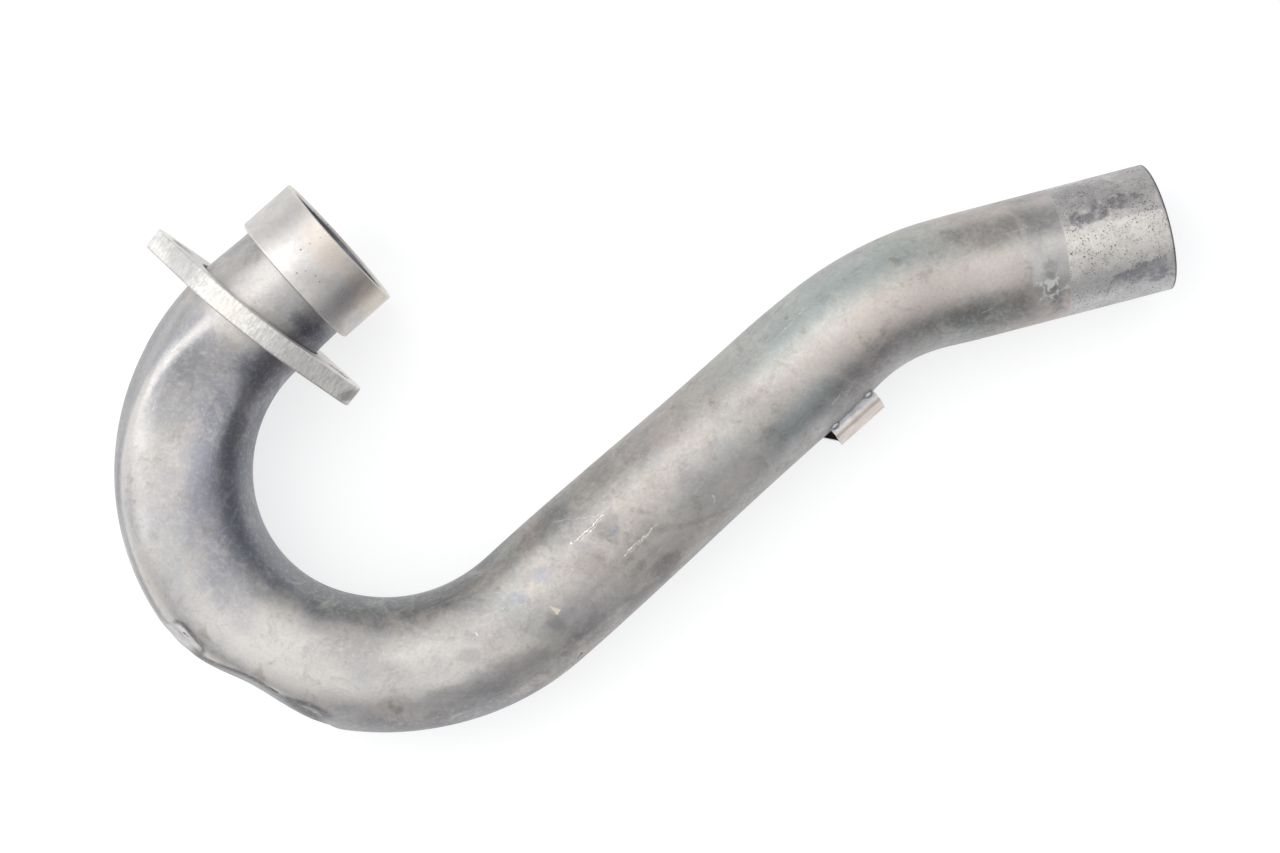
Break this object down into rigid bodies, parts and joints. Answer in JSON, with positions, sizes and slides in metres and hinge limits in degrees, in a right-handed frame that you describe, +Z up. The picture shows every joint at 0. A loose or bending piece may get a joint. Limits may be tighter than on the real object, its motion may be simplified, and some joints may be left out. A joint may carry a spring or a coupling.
{
  "type": "motorcycle exhaust header",
  "caption": "Bent and dented exhaust header tube with a turned port collar, a loose oval stud flange, a heat-shield bracket and a slip-joint outlet.",
  "frame": {"origin": "centre of the port collar's mouth, on the axis of the neck", "axes": "+X along the length of the header, from the port side to the outlet; +Y across it in the plane of the bends, to the side of the port; +Z up from the surface that it lies on"},
  "size_m": [0.3403, 0.1833, 0.0601],
  "materials": {
    "tube_steel": "satin, heat tinted and scuffed",
    "turned_steel": "turned, satin",
    "weld_steel": "as welded",
    "plate_steel": "sawn edge, satin faces",
    "sheet_steel": "satin sheet",
    "tack_steel": "as welded"
  },
  "bodies": {
    "header": {"head_pipe": "tube_steel", "port_collar": "turned_steel", "collar_weld": "weld_steel", "heat_shield_bracket": "sheet_steel", "bracket_tacks": "tack_steel"},
    "flange": {"stud_flange": "plate_steel"}
  },
  "joints": [
    {"name": "flange_swivel", "type": "hinge", "parent": "header", "child": "flange", "pos_m": [-0.0276, -0.02449, -0.00029], "axis": [0.6269, 0.7789, 0.0177], "continuous": true}
  ]
}
